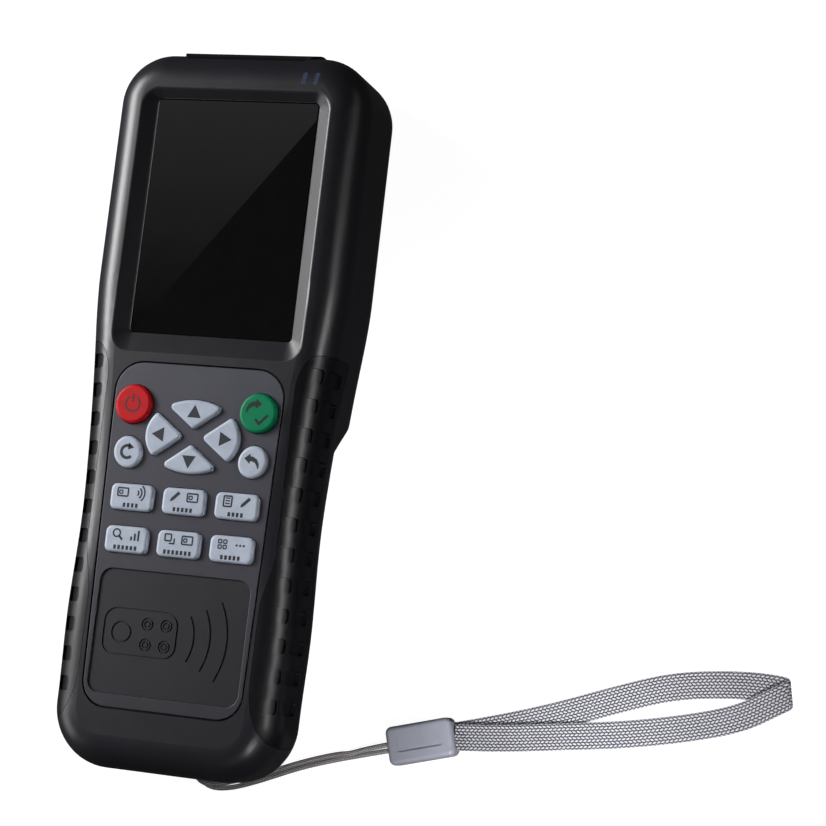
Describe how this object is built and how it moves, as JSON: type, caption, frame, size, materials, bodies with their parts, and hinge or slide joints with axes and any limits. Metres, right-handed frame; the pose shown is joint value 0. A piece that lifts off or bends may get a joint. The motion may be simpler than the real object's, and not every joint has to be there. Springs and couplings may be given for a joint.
{
  "type": "handheld microchip scanner",
  "caption": "Handheld reader with a screen in a deep head, a keypad over a sunk antenna pad, ribbed rubber grips, and a braided wrist strap on a thin cord.",
  "frame": {"origin": "middle of the body's footprint on the surface it lies on, face up, without the strap", "axes": "+X the scanner's right seen from its front, +Y towards its head, +Z out of its face"},
  "size_m": [0.2009, 0.2054, 0.0355],
  "materials": {
    "case_plastic": "fine-textured satin black-grey moulding",
    "fascia_plastic": "fine-textured matt dark grey moulding",
    "cap_plastic": "satin black moulding",
    "grip_rubber": "semi-gloss black overmould",
    "screen_glass": "glossy black-backed glass",
    "lcd_panel": "dark panel",
    "light_pipe": "clear bluish light pipe",
    "key_cap": "satin light blue-grey silicone",
    "key_red": "satin red silicone",
    "key_green": "satin green silicone",
    "key_silicone": "translucent grey silicone",
    "circuit_board": "green solder mask",
    "chip_plastic": "matt black epoxy",
    "spring_steel": "bright sheet steel",
    "screw_steel": "dark zinc-plated steel",
    "copper_coil": "enamelled copper winding",
    "battery_wrap": "blue shrink sleeve",
    "cord_weave": "grey braided nylon cord",
    "strap_weave": "silver-grey flat braided nylon",
    "clip_plastic": "satin blue-grey moulding"
  },
  "bodies": {
    "body": {"front_cover": "case_plastic", "rear_cover": "case_plastic", "battery_door": "case_plastic", "left_grip": "grip_rubber", "right_grip": "grip_rubber", "antenna_cap": "cap_plastic", "screen_lens": "screen_glass", "lcd_module": "lcd_panel", "keypad_fascia": "fascia_plastic", "reader_pad": "fascia_plastic", "light_pipes": "light_pipe", "key_mat": "key_silicone", "dome_switches": "spring_steel", "keypad_board": "circuit_board", "main_board": "circuit_board", "processor": "chip_plastic", "reader_shield": "spring_steel", "card_antenna": "copper_coil", "chip_antenna": "copper_coil", "battery": "battery_wrap", "buzzer": "chip_plastic", "usb_socket": "spring_steel", "cover_screws": "screw_steel", "door_screws": "screw_steel", "lanyard_pin": "spring_steel", "rear_feet": "grip_rubber", "lanyard_cord": "cord_weave", "strap_clip": "clip_plastic", "strap_loop": "strap_weave"},
    "key_power": {"key_power": "key_red"},
    "key_ok": {"key_ok": "key_green"},
    "key_clear": {"key_clear": "key_cap"},
    "key_return": {"key_return": "key_cap"},
    "key_up": {"key_up": "key_cap"},
    "key_down": {"key_down": "key_cap"},
    "key_left": {"key_left": "key_cap"},
    "key_right": {"key_right": "key_cap"},
    "key_function_1": {"key_function_1": "key_cap"},
    "key_function_2": {"key_function_2": "key_cap"},
    "key_function_3": {"key_function_3": "key_cap"},
    "key_function_4": {"key_function_4": "key_cap"},
    "key_function_5": {"key_function_5": "key_cap"},
    "key_function_6": {"key_function_6": "key_cap"}
  },
  "joints": [
    {"name": "key_power_press", "type": "slide", "parent": "body", "child": "key_power", "axis": [0, 0, -1], "range_m": [0, 0.0007], "stiffness_N_per_m": 600, "springref_m": -0.0003},
    {"name": "key_ok_press", "type": "slide", "parent": "body", "child": "key_ok", "axis": [0, 0, -1], "range_m": [0, 0.0007], "stiffness_N_per_m": 600, "springref_m": -0.0003},
    {"name": "key_clear_press", "type": "slide", "parent": "body", "child": "key_clear", "axis": [0, 0, -1], "range_m": [0, 0.0007], "stiffness_N_per_m": 600, "springref_m": -0.0003},
    {"name": "key_return_press", "type": "slide", "parent": "body", "child": "key_return", "axis": [0, 0, -1], "range_m": [0, 0.0007], "stiffness_N_per_m": 600, "springref_m": -0.0003},
    {"name": "key_up_press", "type": "slide", "parent": "body", "child": "key_up", "axis": [0, 0, -1], "range_m": [0, 0.0007], "stiffness_N_per_m": 600, "springref_m": -0.0003},
    {"name": "key_down_press", "type": "slide", "parent": "body", "child": "key_down", "axis": [0, 0, -1], "range_m": [0, 0.0007], "stiffness_N_per_m": 600, "springref_m": -0.0003},
    {"name": "key_left_press", "type": "slide", "parent": "body", "child": "key_left", "axis": [0, 0, -1], "range_m": [0, 0.0007], "stiffness_N_per_m": 600, "springref_m": -0.0003},
    {"name": "key_right_press", "type": "slide", "parent": "body", "child": "key_right", "axis": [0, 0, -1], "range_m": [0, 0.0007], "stiffness_N_per_m": 600, "springref_m": -0.0003},
    {"name": "key_function_1_press", "type": "slide", "parent": "body", "child": "key_function_1", "axis": [0, 0, -1], "range_m": [0, 0.0007], "stiffness_N_per_m": 600, "springref_m": -0.0003},
    {"name": "key_function_2_press", "type": "slide", "parent": "body", "child": "key_function_2", "axis": [0, 0, -1], "range_m": [0, 0.0007], "stiffness_N_per_m": 600, "springref_m": -0.0003},
    {"name": "key_function_3_press", "type": "slide", "parent": "body", "child": "key_function_3", "axis": [0, 0, -1], "range_m": [0, 0.0007], "stiffness_N_per_m": 600, "springref_m": -0.0003},
    {"name": "key_function_4_press", "type": "slide", "parent": "body", "child": "key_function_4", "axis": [0, 0, -1], "range_m": [0, 0.0007], "stiffness_N_per_m": 600, "springref_m": -0.0003},
    {"name": "key_function_5_press", "type": "slide", "parent": "body", "child": "key_function_5", "axis": [0, 0, -1], "range_m": [0, 0.0007], "stiffness_N_per_m": 600, "springref_m": -0.0003},
    {"name": "key_function_6_press", "type": "slide", "parent": "body", "child": "key_function_6", "axis": [0, 0, -1], "range_m": [0, 0.0007], "stiffness_N_per_m": 600, "springref_m": -0.0003}
  ]
}
